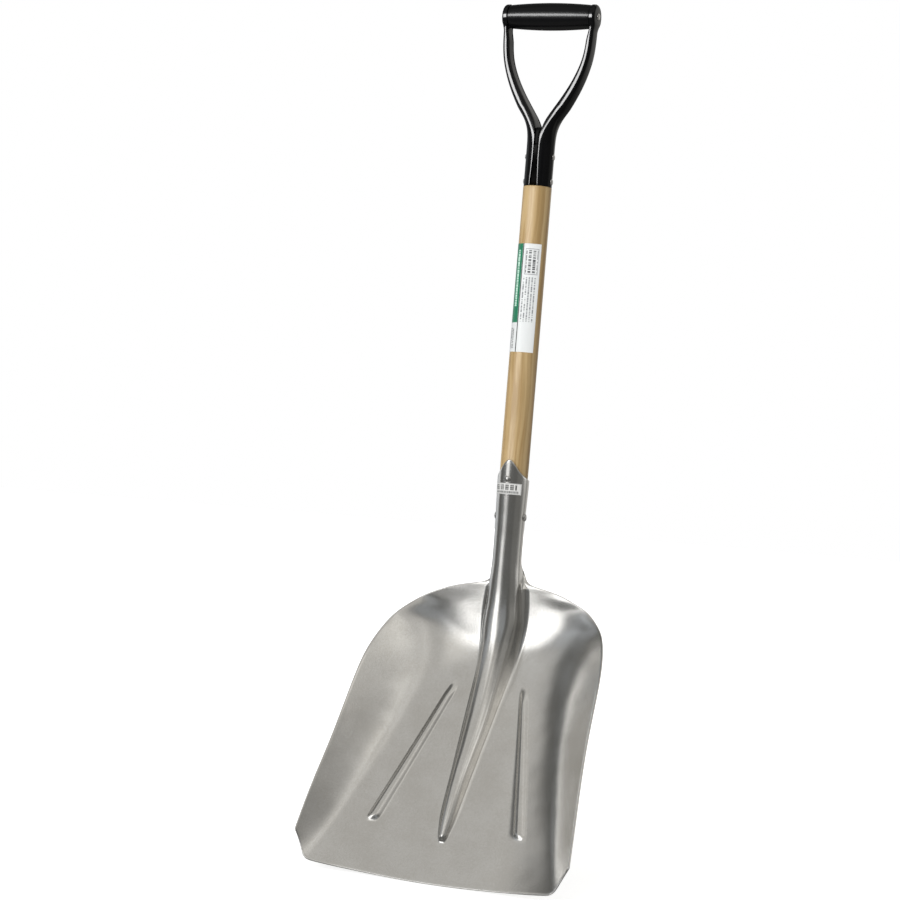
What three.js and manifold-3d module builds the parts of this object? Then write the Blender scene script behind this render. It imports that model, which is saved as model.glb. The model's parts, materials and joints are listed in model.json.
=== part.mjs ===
// Aluminium snow scoop with an ash shaft and a D-grip. Millimetres, +Z up along the shaft, and
// the load side faces -Y. Heights here start at the lowest point of the front edge; the group at
// the end is lowered so that the origin lies under the middle of the grip bar.
import * as THREE from 'three';
import { mergeVertices } from 'three/addons/utils/BufferGeometryUtils.js';
import Module from 'manifold-3d';

const manifoldLibrary = await Module();
manifoldLibrary.setup();
const { Manifold, Mesh: SolidMesh } = manifoldLibrary;

// ---- driving dimensions ----
const GAP = 0.3;                    // clearance between touching parts
const SHEET = 2.0;                  // thickness of the scoop's sheet
const FRONT_Y = -176;               // front edge on the centre line
const FLOOR_SLOPE = 0.649;          // how fast the floor falls back with height
const REAR_SLOPE = 0.02;            // the same for the rear wall
const FLOOR_BEND = [225, 340];      // heights between which the floor turns up into the rear wall
const FLAT_HALF = 45;               // half width of the flat strip in the middle of the floor
const CORNER_RISE = 10.3;           // height of the floor's front corners over the middle of the edge
const WALL_END_Z = 45.5;            // where the slanted ends of the walls reach the rim
const CORNER = { rounding: 0.3, power: 1.3 };
const RIDGE_END_Z = 47;             // lower end of the hollow ridge
const NECK = [372, 428];            // the pan turns into the socket between these heights
const NECK_BACK = 6;                // how far the floor line moves back on the way through the neck
const SOCKET_TOP = 505;
const TONGUE = { rise: 29, halfAngle: 40 };
const RIB = { lowX: 101, lowZ: 61.5, highX: 46.7, highZ: 243.5, height: 3.8, lowHalf: 9, highHalf: 6 };

const SHAFT_R = 18.8;
const SHAFT_FOOT_Z = 366;
const FERRULE_Z = 894.5;            // lower end of the two sheaths
const FERRULE_R = 18.6;
const CROTCH_Z = 972.7;             // the shaft splits into two arms here
const SEAM_HALF = 3.6;              // half of the groove between the sheaths
const STEEL = 1.4;                  // sheath thickness
const BAR = { z: 1119.5, middleR: 18, endR: 15.2, halfLength: 57 };
const CUP = { inner: 57.5, outer: 64.5, radius: 16.2 };

const RIVET_R = 2.4;
const SOCKET_RIVETS_Z = { front: 509.5, cross: 461 };
const FERRULE_RIVETS_Z = [934, 901.5];
const LABEL = { bottom: 676, top: 818, from: -100, to: 59, thickness: 0.25 };
const STICKER = { bottom: 489.5, top: 504, from: -62, to: 55, thickness: 0.25 };

// ---- small maths ----
const radians = (degrees) => degrees * Math.PI / 180;
const mix = (a, b, t) => a + (b - a) * t;
const clamp01 = (t) => Math.min(1, Math.max(0, t));
const smooth = (from, to, x) => {
  const t = clamp01((x - from) / (to - from));
  return t * t * (3 - 2 * t);
};
const span = (from, to, steps) => Array.from({ length: steps }, (_, i) => mix(from, to, (i + 1) / steps));

// natural cubic spline through [height, value] points, straight beyond both ends
function spline(...points) {
  const last = points.length - 1;
  const z = points.map((p) => p[0]);
  const v = points.map((p) => p[1]);
  const gap = (i) => z[i + 1] - z[i];
  const slope = (i) => (v[i + 1] - v[i]) / gap(i);
  const carry = Array(last + 1).fill(0);
  const bend = Array(last + 1).fill(0);
  for (let i = 1; i < last; i++) {
    const pivot = 2 * (gap(i - 1) + gap(i)) - gap(i - 1) * carry[i - 1];
    carry[i] = gap(i) / pivot;
    bend[i] = (6 * (slope(i) - slope(i - 1)) - gap(i - 1) * bend[i - 1]) / pivot;
  }
  for (let i = last - 1; i > 0; i--) bend[i] -= carry[i] * bend[i + 1];
  return (x) => {
    if (x <= z[0]) return v[0] + (slope(0) - gap(0) * bend[1] / 6) * (x - z[0]);
    if (x >= z[last]) {
      return v[last] + (slope(last - 1) + gap(last - 1) * bend[last - 1] / 6) * (x - z[last]);
    }
    const i = z.findIndex((limit) => limit > x) - 1;
    const b = (x - z[i]) / gap(i);
    const a = 1 - b;
    const curve = (a ** 3 - a) * bend[i] + (b ** 3 - b) * bend[i + 1];
    return a * v[i] + b * v[i + 1] + curve * gap(i) ** 2 / 6;
  };
}

// ---- solids ----
function indexedGeometry(points, triangles) {
  const geometry = new THREE.BufferGeometry();
  geometry.setAttribute('position', new THREE.Float32BufferAttribute(points.flatMap((p) => p.toArray()), 3));
  geometry.setIndex(triangles.flat());
  return geometry;
}

// closed solid between two grids of points with the same rows and columns
function sheetGeometry(front, back) {
  const rows = front.length;
  const columns = front[0].length;
  const at = (side, i, j) => side * rows * columns + i * columns + j;
  const triangles = [];
  const quad = (a, b, c, d) => triangles.push([a, b, c], [a, c, d]);
  for (let i = 0; i < rows - 1; i++) {
    for (let j = 0; j < columns - 1; j++) {
      quad(at(0, i, j), at(0, i, j + 1), at(0, i + 1, j + 1), at(0, i + 1, j));
      quad(at(1, i, j), at(1, i + 1, j), at(1, i + 1, j + 1), at(1, i, j + 1));
    }
    quad(at(0, i, 0), at(0, i + 1, 0), at(1, i + 1, 0), at(1, i, 0));
    quad(at(0, i, columns - 1), at(1, i, columns - 1), at(1, i + 1, columns - 1), at(0, i + 1, columns - 1));
  }
  for (let j = 0; j < columns - 1; j++) {
    quad(at(0, 0, j), at(1, 0, j), at(1, 0, j + 1), at(0, 0, j + 1));
    quad(at(0, rows - 1, j), at(0, rows - 1, j + 1), at(1, rows - 1, j + 1), at(1, rows - 1, j));
  }
  return indexedGeometry([...front.flat(), ...back.flat()], triangles);
}

// closed solid through a stack of rings with the same number of points
function loftGeometry(rings) {
  const count = rings[0].length;
  const triangles = [];
  for (let i = 0; i < rings.length - 1; i++) {
    for (let j = 0; j < count; j++) {
      const k = (j + 1) % count;
      const [a, b, c, d] = [i * count + j, i * count + k, (i + 1) * count + k, (i + 1) * count + j];
      triangles.push([a, b, c], [a, c, d]);
    }
  }
  const top = (rings.length - 1) * count;
  for (let j = 1; j < count - 1; j++) triangles.push([0, j + 1, j], [top, top + j, top + j + 1]);
  return indexedGeometry(rings.flat(), triangles);
}

// profile of [radius, height] pairs turned about Z, starting and ending on the axis or closed
function turned(profile, segments) {
  return new THREE.LatheGeometry(profile.map(([r, h]) => new THREE.Vector2(r, h)), segments)
    .rotateX(Math.PI / 2);
}

function toSolid(geometry) {
  const bare = new THREE.BufferGeometry();
  bare.setAttribute('position', geometry.getAttribute('position'));
  bare.setIndex(geometry.getIndex());
  const merged = mergeVertices(bare, 1e-4);
  const corners = merged.getIndex().array;
  const kept = [];
  for (let i = 0; i < corners.length; i += 3) {
    const [a, b, c] = corners.slice(i, i + 3);
    if (a !== b && b !== c && c !== a) kept.push(a, b, c);
  }
  const mesh = new SolidMesh({
    numProp: 3,
    vertProperties: new Float32Array(merged.getAttribute('position').array),
    triVerts: new Uint32Array(kept),
  });
  const solid = new Manifold(mesh);
  if (solid.volume() > 0) return solid;
  for (let i = 0; i < kept.length; i += 3) [kept[i + 1], kept[i + 2]] = [kept[i + 2], kept[i + 1]];
  return new Manifold(new SolidMesh({ ...mesh, numProp: 3, triVerts: new Uint32Array(kept) }));
}

function toGeometry(solid) {
  const mesh = solid.getMesh();
  const geometry = new THREE.BufferGeometry();
  geometry.setAttribute('position', new THREE.Float32BufferAttribute(mesh.vertProperties, 3));
  geometry.setIndex(Array.from(mesh.triVerts));
  return geometry;
}

// rod along an axis through the shaft, used to drill holes
function rod(axis, z, radius, halfLength) {
  const geometry = new THREE.CylinderGeometry(radius, radius, 2 * halfLength, 24);
  if (axis === 'x') geometry.rotateZ(Math.PI / 2);
  return toSolid(geometry.translate(0, 0, z));
}

// ---- scoop ----
function floorY(z) {
  const length = FLOOR_BEND[1] - FLOOR_BEND[0];
  const t = Math.max(0, (z - FLOOR_BEND[0]) / length);
  const turn = t < 1 ? t ** 3 - t ** 4 / 2 : t - 0.5;
  const neck = NECK_BACK * smooth(NECK[0], NECK[1], z);
  return FRONT_Y + FLOOR_SLOPE * z - (FLOOR_SLOPE - REAR_SLOPE) * length * turn + neck;
}
const socketR = spline([330, 20.4], [380, 19.3], [425, 19.1], [461, 19.6], [500, 20.7], [534, 21.1]);
const crestY = spline([45, -151], [70, -141], [95, -130], [120, -117.5], [145, -103], [174, -84.5],
  [207, -65.5], [245, -47.5], [285, -32.5], [315, -24.5], [345, -20.4], [380, -19.3], [430, -19.1]);
const footX = spline([0, 4.5], [45, 4.5], [70, 8.5], [122, 13], [177, 17.5], [232, 22], [287, 25.5],
  [320, 26], [350, 24], [374, 21.5], [400, 20.3], [430, 20]);
const creaseX = spline([11.3, 167.5], [51, 153.5], [79, 145.5], [127, 130], [182, 114.5], [236, 104],
  [290, 104], [325, 99], [350, 66], [374, 25.5], [400, 21.5], [430, 21]);
const creaseY = spline([11.3, -189], [51, -158], [79, -139], [127, -104.5], [182, -62], [236, -24]);
const creaseSoftness = spline([10, 5], [60, 9], [120, 16], [180, 26], [236, 40], [290, 50], [325, 36],
  [350, 26], [374, 20]);
const rimX = spline([47.8, 184.1], [105.3, 178.2], [150.4, 172.7], [195.9, 168.5], [242, 165.3],
  [273, 161.5], [289, 157.6], [305.3, 151.8], [322.5, 142], [335, 129.5], [347.8, 111], [356.8, 91],
  [363.7, 71.5], [368, 52.5], [371.5, 37], [375.5, 28.6], [383, 24.4], [395, 21.8], [430, 21.2]);
const rimY = spline([47.8, -184], [105.3, -156.3], [150.4, -132], [195.9, -107.5], [242, -81],
  [273, -60.5], [289, -47.5], [305.3, -33.5], [322, -18.5], [334, -8.5], [345, -0.5], [356.8, 4],
  [363.7, 6.5], [371.5, 9], [380, 12], [395, 14], [430, 14]);
const alongRib = (z) => (z - RIB.lowZ) / (RIB.highZ - RIB.lowZ);
const ribX = (z) => mix(RIB.lowX, RIB.highX, alongRib(z));
const ribHalfAt = (z) => mix(RIB.lowHalf, RIB.highHalf, clamp01(alongRib(z)));

// floor, crease and wall of a level section: how far it comes forward of the floor line at x
function panY(x, z) {
  const foot = footX(z);
  const crease = creaseX(z);
  const ramp = (at) => at - crease + Math.hypot(at - crease, creaseSoftness(z));
  const wall = (ramp(x) - ramp(foot)) / (ramp(rimX(z)) - ramp(foot));
  const out = (at) => Math.max(0, (at - FLAT_HALF) / (crease - FLAT_HALF)) ** 2;
  const dish = (floorY(z) - creaseY(z)) * smooth(300, 200, z);
  const rim = floorY(z) - rimY(z) - dish * out(rimX(z));
  return floorY(z) - rim * wall - dish * out(x);
}

// corner rounded by a conic arc with the given tangent lengths, as steps + 1 points
function roundedCorner(before, corner, after, spanIn, spanOut, steps) {
  const arrive = corner.clone().sub(before).normalize();
  const leave = after.clone().sub(corner).normalize();
  const start = corner.clone().addScaledVector(arrive, -spanIn);
  const end = corner.clone().addScaledVector(leave, spanOut);
  const weight = Math.sqrt(Math.max(0, (1 + arrive.dot(leave)) / 2));
  return [0, ...span(0, 1, steps)].map((t) => {
    const [a, b, c] = [(1 - t) ** 2, 2 * weight * t * (1 - t), t * t];
    const point = start.clone().multiplyScalar(a).addScaledVector(corner, b).addScaledVector(end, c);
    return point.divideScalar(a + b + c);
  });
}

// half of the pan's level section, from the ridge's crest out to the rim
const COLUMNS = { crest: 6, toe: 2, inner: 2, rib: 4, outer: 3, wall: 5 };
function panSection(z) {
  const height = (floorY(z) - crestY(z)) * smooth(RIDGE_END_Z, RIDGE_END_Z + 9, z);
  const lean = 0.36 * smooth(360, 250, z);
  const width = mix(footX(z) * (1 - lean), socketR(z), smooth(310, 350, z));
  const crest = new THREE.Vector2(0, floorY(z) - height);
  const shoulder = new THREE.Vector2(width, crest.y);
  const foot = new THREE.Vector2(footX(z), floorY(z));
  const flank = shoulder.distanceTo(foot);
  const toeSpan = Math.min(mix(4.5, 10, smooth(260, 360, z)), 0.36 * flank);
  const toeX = foot.x + Math.min(toeSpan, 0.3 * (rimX(z) - foot.x));
  const toeEnd = new THREE.Vector2(toeX, panY(toeX, z));
  const top = roundedCorner(crest, shoulder, foot, width, Math.min(width, 0.6 * flank), COLUMNS.crest);
  const toe = roundedCorner(shoulder, foot, toeEnd, toeSpan, foot.distanceTo(toeEnd), COLUMNS.toe);
  const crease = THREE.MathUtils.clamp(creaseX(z), mix(toeX, rimX(z), 0.5), mix(toeX, rimX(z), 0.92));
  const rib = THREE.MathUtils.clamp(ribX(z), mix(toeX, crease, 0.3), mix(toeX, crease, 0.8));
  const ribHalf = Math.min(ribHalfAt(z), 0.2 * (crease - toeX));
  const stops = [
    ...span(toeX, rib - ribHalf, COLUMNS.inner),
    ...span(rib - ribHalf, rib + ribHalf, COLUMNS.rib),
    ...span(rib + ribHalf, crease, COLUMNS.outer),
    ...span(crease, rimX(z), COLUMNS.wall),
  ];
  return [...top, ...toe, ...stops.map((x) => new THREE.Vector2(x, panY(x, z)))];
}

// the same columns wrapped round the shaft as an open tube
function socketSection(z, section) {
  const lengths = section.map((p, i) => (i ? p.distanceTo(section[i - 1]) : 0));
  const total = lengths.reduce((a, b) => a + b);
  const reach = radians(mix(150, 171, smooth(NECK[0], NECK[1] + 30, z)));
  let walked = 0;
  return lengths.map((length) => {
    walked += length;
    const angle = reach * walked / total;
    return new THREE.Vector2(Math.sin(angle), -Math.cos(angle)).multiplyScalar(socketR(z));
  });
}

function scoopPoint(column, z) {
  const pan = panSection(Math.min(z, NECK[1]));
  const tube = z > NECK[0] ? socketSection(z, pan)[column] : pan[column];
  const flat = pan[column].clone().lerp(tube, smooth(NECK[0], NECK[1], z));
  const across = Math.min(1, Math.abs(flat.x - ribX(z)) / ribHalfAt(z));
  const ends = smooth(0, 0.05, alongRib(z)) * smooth(1, 0.88, alongRib(z));
  const lift = RIB.height * ends * (1 - across ** 2) ** 1.15;
  return new THREE.Vector3(flat.x, flat.y - lift, z);
}

// slanted front outline and pointed top outline of the blank, by column
function frontHeight(column) {
  const section = panSection(CORNER_RISE / 2);
  const rim = section.length - 1;
  const crease = section[rim - COLUMNS.wall].x;
  const turn = (past) => ((past + Math.hypot(past, CORNER.rounding)) / 2) ** CORNER.power;
  const past = (section[column].x - crease) / (section[rim].x - crease);
  const rise = CORNER_RISE * Math.min(1, section[column].x / crease) ** 2;
  return rise + (WALL_END_Z - CORNER_RISE) * turn(past) / turn(1);
}
function topHeight(column) {
  const { x, y } = scoopPoint(column, SOCKET_TOP);
  const angle = THREE.MathUtils.radToDeg(Math.atan2(x, -y));
  return SOCKET_TOP + TONGUE.rise / (1 + (angle / TONGUE.halfAngle) ** 2);
}

function scoopGrid() {
  const columns = panSection(0).length;
  const half = Array.from({ length: columns }, (_, column) => {
    const heights = [
      frontHeight(column),
      ...span(frontHeight(column), 100, 8),
      ...span(100, 330, 12),
      ...span(330, 400, 11),
      ...span(400, 455, 3),
      ...span(455, topHeight(column), 4),
    ];
    return heights.map((z) => scoopPoint(column, z));
  });
  return half[0].map((_, row) => {
    const right = half.map((points) => points[row]);
    const left = right.slice(1).reverse().map((p) => new THREE.Vector3(-p.x, p.y, p.z));
    return [...left, ...right];
  });
}

function offsetGrid(grid, distance) {
  const limit = (value, count) => Math.min(Math.max(value, 0), count - 1);
  const at = (i, j) => grid[limit(i, grid.length)][limit(j, grid[0].length)];
  return grid.map((row, i) => row.map((point, j) => {
    const along = at(i + 1, j).clone().sub(at(i - 1, j));
    const across = at(i, j + 1).clone().sub(at(i, j - 1));
    const normal = along.cross(across).normalize();
    return point.clone().addScaledVector(normal, distance);
  }));
}

function scoopBlade() {
  const front = scoopGrid();
  const back = offsetGrid(front, SHEET);
  return toGeometry(toSolid(sheetGeometry(front, back))
    .subtract(rod('y', SOCKET_RIVETS_Z.front, RIVET_R + GAP, 30))
    .subtract(rod('x', SOCKET_RIVETS_Z.cross, RIVET_R + GAP, 30)));
}

// ---- shaft and D-grip: level sections of one arm, on the +X side ----
const armOuterX = spline([930, 18.6], [955, 18.9], [967, 20.6], [983, 25.6], [999, 34.2], [1015, 42.7],
  [1031, 49.8], [1047, 55.4], [1063, 59.5], [1079, 61.6], [1095, 62.4], [1110, 62.5]);
const armThickness = spline([930, 15], [960, 15.8], [983, 16.2], [1015, 13.6], [1047, 9.8], [1079, 8],
  [1110, 8]);
const armHalfDepth = spline([930, 18.4], [960, 17.6], [985, 15], [1015, 12.8], [1047, 11.9], [1110, 11.5]);
const ARM_HEIGHTS = [940, ...span(940, 1095, 14)];
const ARM_FOOT_Z = ARM_HEIGHTS[1];  // the arms' wood starts here, on both sides of a tenon
const armInnerX = (z) => Math.max(SEAM_HALF, armOuterX(z) - armThickness(z));

// open curve round the outside of an arm, inset from the steel's outer face; edge is its inner X
function armCurve(z, inset, edge, steps) {
  const round = FERRULE_R - inset;
  const turn = Math.acos(Math.min(1, edge / round));
  const width = armOuterX(z) - inset - edge;
  const depth = armHalfDepth(z) - inset;
  const boxiness = 0.72;
  const free = smooth(945, 1000, z);
  return Array.from({ length: steps + 1 }, (_, i) => {
    const u = 2 * i / steps - 1;
    const ferrule = new THREE.Vector2(round * Math.cos(u * turn), round * Math.sin(u * turn));
    const angle = u * Math.PI / 2;
    const arm = new THREE.Vector2(
      edge + width * Math.max(0, Math.cos(angle)) ** boxiness,
      depth * Math.sign(u) * Math.abs(Math.sin(angle)) ** boxiness,
    );
    const point = ferrule.lerp(arm, free);
    return new THREE.Vector3(point.x, point.y, z);
  });
}

// solid turned about the X axis at the height of the grip bar
function turnedAcross(profile, segments) {
  return turned(profile, segments).rotateY(Math.PI / 2).translate(0, 0, BAR.z);
}

function armSheath() {
  const heights = [FERRULE_Z, 917, ...ARM_HEIGHTS, 1110];
  const outside = heights.map((z) => armCurve(z, 0, armInnerX(z), 16));
  const inside = heights.map((z) => armCurve(z, STEEL, armInnerX(z), 16));
  const edge = CUP.radius - 4;
  const dome = span(0, 1, 4).map((t) => {
    const angle = t * Math.PI / 2;
    return [edge + 4 * Math.cos(angle), CUP.outer - 4 + 4 * Math.sin(angle)];
  });
  const cup = toSolid(turnedAcross([[0, CUP.inner], [CUP.radius, CUP.inner], [CUP.radius, CUP.outer - 4],
    ...dome, [0, CUP.outer]], 40));
  const hollow = toSolid(turnedAcross([[0, 0], [BAR.endR + 0.6, 0], [BAR.endR + 0.6, CUP.inner],
    [CUP.radius - STEEL, CUP.inner], [CUP.radius - STEEL, CUP.outer - STEEL - 2.5],
    [CUP.radius - STEEL - 2.5, CUP.outer - STEEL], [0, CUP.outer - STEEL]], 40));
  const gripHole = toSolid(turnedAcross([[0, 0], [RIVET_R + GAP, 0], [RIVET_R + GAP, 80], [0, 80]], 24));
  const drilled = FERRULE_RIVETS_Z.map((z) => rod('x', z, RIVET_R + GAP, 30));
  return toSolid(sheetGeometry(outside, inside))
    .add(cup)
    .subtract(hollow)
    .subtract(gripHole)
    .subtract(Manifold.union(drilled));
}

// round shaft, thinner in the socket and the ferrule, with a tenon between the feet of the arms
function shaft() {
  const inFerrule = FERRULE_R - STEEL - GAP;
  const inSocket = (z) => Math.min(SHAFT_R, socketR(z) - SHEET - 2 * GAP);
  const taper = (z) => 3 * smooth(SHAFT_FOOT_Z + 44, SHAFT_FOOT_Z, z);
  const socketHeights = [370, 380, 395, 410, 425, 461, 500, 520, 545];
  const profile = [
    [0, SHAFT_FOOT_Z],
    [inSocket(SHAFT_FOOT_Z) - 6, SHAFT_FOOT_Z],
    ...socketHeights.map((z) => [inSocket(z) - taper(z), z]),
    [SHAFT_R, FERRULE_Z - GAP],
    [inFerrule, FERRULE_Z - GAP],
    [inFerrule, ARM_FOOT_Z],
    [0, ARM_FOOT_Z],
  ];
  const tenonLength = CROTCH_Z - ARM_FOOT_Z;
  const tenonBlock = toSolid(new THREE.BoxGeometry(2 * (SEAM_HALF + 0.5), 40, 2 * tenonLength)
    .translate(0, 0, ARM_FOOT_Z));
  const tenonRound = toSolid(new THREE.CylinderGeometry(inFerrule - 1.3, inFerrule - 1.3, 2 * tenonLength, 48)
    .rotateX(Math.PI / 2)
    .translate(0, 0, ARM_FOOT_Z));
  const rivets = [
    ...FERRULE_RIVETS_Z.map((z) => rod('x', z, RIVET_R + GAP, 30)),
    rod('x', SOCKET_RIVETS_Z.cross, RIVET_R + GAP, 30),
    rod('y', SOCKET_RIVETS_Z.front, RIVET_R + GAP, 30),
  ];
  return toSolid(turned(profile, 48))
    .add(tenonBlock.intersect(tenonRound))
    .subtract(Manifold.union(rivets));
}

// wood inside the sheath of one arm
function armCore() {
  const heights = [ARM_FOOT_Z + GAP, ...ARM_HEIGHTS.slice(2), 1100];
  const rings = heights.map((z) => armCurve(z, STEEL + 1.6 * GAP, armInnerX(z) + 0.8, 16));
  return toSolid(loftGeometry(rings));
}

function gripBar() {
  const bore = RIVET_R + GAP;
  const tenonR = CUP.radius - STEEL - GAP;
  const tenonX = CUP.outer - STEEL - 3;
  const barrel = [-1, ...span(-1, 1, 12)].map((t) => {
    return [mix(BAR.endR, BAR.middleR, Math.max(0, Math.cos(t * Math.PI / 2)) ** 0.8), t * BAR.halfLength];
  });
  const profile = [
    [bore, -tenonX], [tenonR - 1, -tenonX], [tenonR - 1, -BAR.halfLength], ...barrel,
    [tenonR - 1, BAR.halfLength], [tenonR - 1, tenonX], [bore, tenonX], [bore, -tenonX],
  ];
  return turnedAcross(profile, 40);
}

// ---- fasteners: rods with domed heads, upright at the origin ----
function rivet(radius, headRadius, headHeight, low, high) {
  const dome = (t) => [headRadius * Math.cos(t * Math.PI / 2), headHeight * Math.sin(t * Math.PI / 2)];
  const upper = [0, ...span(0, 1, 4)].map((t) => [Math.max(0, dome(t)[0]), high + dome(t)[1]]);
  const lower = [1, ...span(1, 0, 4)].map((t) => [Math.max(0, dome(t)[0]), low - dome(t)[1]]);
  lower[0][0] = 0;
  upper[upper.length - 1][0] = 0;
  return turned([...lower, [radius, low], [radius, high], ...upper], 24);
}
const across = (geometry, z) => geometry.rotateY(Math.PI / 2).translate(0, 0, z);

// thin sheet wrapped round the shaft's axis, from one angle to another (0 faces -Y)
function wrappedLabel({ bottom, top, from, to, thickness }, radiusAt) {
  const grid = (extra) => [bottom, ...span(bottom, top, 2)].map((z) => {
    return [from, ...span(from, to, 16)].map((degrees) => {
      const radius = radiusAt(z) + GAP + extra;
      const angle = radians(degrees);
      return new THREE.Vector3(radius * Math.sin(angle), -radius * Math.cos(angle), z);
    });
  });
  return sheetGeometry(grid(thickness), grid(0));
}

// ---- the assembly ----
function material(color, roughness, metalness) {
  return new THREE.MeshStandardMaterial({ color, roughness, metalness });
}
const aluminium = material(0xb4b1ab, 0.35, 1);
const ash = material(0xd3ad76, 0.35, 0);
const blackSteel = material(0x0a0a0b, 0.15, 0);
const blackWood = material(0x0b0a0a, 0.2, 0);
const rivetSteel = material(0xa9a9a6, 0.3, 1);
const labelPaper = material(0xe8ece6, 0.4, 0);

const shovel = new THREE.Group();
shovel.position.z = BAR.middleR - BAR.z;
function add(name, geometry, finish) {
  const mesh = new THREE.Mesh(geometry, finish);
  mesh.name = name;
  shovel.add(mesh);
}

const sheath = armSheath();
add('scoop_blade', scoopBlade(), aluminium);
add('shaft', toGeometry(shaft()), ash);
add('right_arm_sheath', toGeometry(sheath), blackSteel);
add('left_arm_sheath', toGeometry(sheath.mirror([1, 0, 0])), blackSteel);
const core = armCore();
add('right_arm_core', toGeometry(core), blackWood);
add('left_arm_core', toGeometry(core.mirror([1, 0, 0])), blackWood);
add('grip_bar', gripBar(), blackWood);

const cupFace = CUP.outer + GAP;
add('grip_rivet', across(rivet(RIVET_R, 4.4, 1.8, -cupFace, cupFace), BAR.z), rivetSteel);
const ferruleFace = FERRULE_R + GAP;
const ferruleRivet = (z) => across(rivet(RIVET_R, 4, 2, -ferruleFace, ferruleFace), z);
add('ferrule_rivet_upper', ferruleRivet(FERRULE_RIVETS_Z[0]), rivetSteel);
add('ferrule_rivet_lower', ferruleRivet(FERRULE_RIVETS_Z[1]), rivetSteel);
const crossFace = socketR(SOCKET_RIVETS_Z.cross) + GAP;
const crossRivet = rivet(RIVET_R, 5, 2.4, -crossFace, crossFace);
add('socket_cross_rivet', across(crossRivet, SOCKET_RIVETS_Z.cross), rivetSteel);

const burr = { radius: 5.2, thickness: 1.2 };
const backFace = socketR(SOCKET_RIVETS_Z.front) + GAP;
const frontRivet = rivet(RIVET_R, 4.2, 2, -backFace - burr.thickness - GAP, backFace);
add('socket_front_rivet', frontRivet.rotateX(Math.PI / 2).translate(0, 0, SOCKET_RIVETS_Z.front), rivetSteel);
const ring = [[RIVET_R + GAP, 0], [burr.radius, 0], [burr.radius, burr.thickness],
  [RIVET_R + GAP, burr.thickness], [RIVET_R + GAP, 0]];
add('socket_rivet_burr', turned(ring, 24).rotateX(-Math.PI / 2)
  .translate(0, backFace, SOCKET_RIVETS_Z.front), rivetSteel);

add('shaft_label', wrappedLabel(LABEL, () => SHAFT_R), labelPaper);
add('socket_label', wrappedLabel(STICKER, socketR), labelPaper);

export default shovel;
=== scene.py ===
"""Looks of the aluminium snow scoop: fine meshes, procedural finishes, studio and camera.

Shapes are worked out in millimetres, with heights from the lowest point of the blade's front
edge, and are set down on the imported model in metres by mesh_object().
"""
import json
import math

import bmesh
import bpy
import numpy as np
from mathutils import Matrix, Vector

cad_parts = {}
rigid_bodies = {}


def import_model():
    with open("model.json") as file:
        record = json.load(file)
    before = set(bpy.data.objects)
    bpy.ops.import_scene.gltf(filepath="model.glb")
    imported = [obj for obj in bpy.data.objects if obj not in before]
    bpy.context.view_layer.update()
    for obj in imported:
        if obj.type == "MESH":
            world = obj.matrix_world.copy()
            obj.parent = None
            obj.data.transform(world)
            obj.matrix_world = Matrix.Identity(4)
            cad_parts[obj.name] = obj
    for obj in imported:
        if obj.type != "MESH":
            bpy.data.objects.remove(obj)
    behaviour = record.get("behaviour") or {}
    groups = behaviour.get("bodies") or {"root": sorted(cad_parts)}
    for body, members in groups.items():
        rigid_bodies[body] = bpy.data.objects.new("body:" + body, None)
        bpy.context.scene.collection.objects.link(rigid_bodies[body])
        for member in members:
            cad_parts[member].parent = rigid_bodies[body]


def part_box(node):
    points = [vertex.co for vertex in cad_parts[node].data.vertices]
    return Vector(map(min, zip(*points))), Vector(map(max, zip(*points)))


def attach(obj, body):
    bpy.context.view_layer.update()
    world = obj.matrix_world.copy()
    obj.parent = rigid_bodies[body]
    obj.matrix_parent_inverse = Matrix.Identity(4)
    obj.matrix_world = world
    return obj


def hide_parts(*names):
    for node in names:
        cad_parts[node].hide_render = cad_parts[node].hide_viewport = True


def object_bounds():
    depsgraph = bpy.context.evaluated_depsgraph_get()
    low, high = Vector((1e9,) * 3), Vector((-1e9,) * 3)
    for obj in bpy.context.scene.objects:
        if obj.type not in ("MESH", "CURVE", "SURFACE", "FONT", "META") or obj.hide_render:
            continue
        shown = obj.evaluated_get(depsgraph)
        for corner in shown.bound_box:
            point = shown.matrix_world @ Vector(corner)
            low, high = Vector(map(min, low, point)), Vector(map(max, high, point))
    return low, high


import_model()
CAD_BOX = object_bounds()
MM = 0.001

# ---- sizes in millimetres, slopes and shares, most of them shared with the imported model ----
SHEET = 2.0
FRONT_Y = -176
FLOOR_SLOPE = 0.649
REAR_SLOPE = 0.02
FLOOR_BEND = (225, 340)
FLAT_HALF = 45
CORNER_RISE = 10.3
WALL_END_Z = 45.5
CORNER_ROUNDING = 0.3
CORNER_POWER = 1.3
RIDGE_END_Z = 47
NECK = (372, 428)
NECK_BACK = 6
SOCKET_TOP = 505
TONGUE_RISE = 29
TONGUE_HALF_ANGLE = 40
SOCKET_WRAP = (150, 171)            # degrees that each half of the sheet wraps round the shaft
RIDGE_LEAN = 0.36                   # share by which the ridge is narrower at its top than at its foot
RIB_LOW = (101, 61.5)
RIB_HIGH = (46.7, 243.5)
RIB_HEIGHT = 3.8
RIB_HALF = (9, 6)
SHAFT_R = 18.8
FERRULE_Z = 894.5
FERRULE_R = 18.6
CROTCH_Z = 972.7
SEAM_HALF = 3.6
STEEL = 1.4
BAR_Z = 1119.5
BAR_END_R = 15.2
BAR_MIDDLE_R = 18
BAR_HALF = 57
CUP_INNER = 57.5
CUP_OUTER = 64.5
CUP_R = 16.2
CUP_FLARE = (1098, 1112)            # heights between which the arm's outside widens to the cup
LIP_FLARE = (1085, 1108)            # and its inside
STRAP_END_Z = 1110
ARM_FOOT_Z = 951
SHAFT_FOOT_Z = 366
GAP = 0.3
RIVET_R = 2.3
FERRULE_RIVETS = {"ferrule_rivet_upper": 934, "ferrule_rivet_lower": 901.5}
CROSS_RIVET_Z = 461
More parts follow.
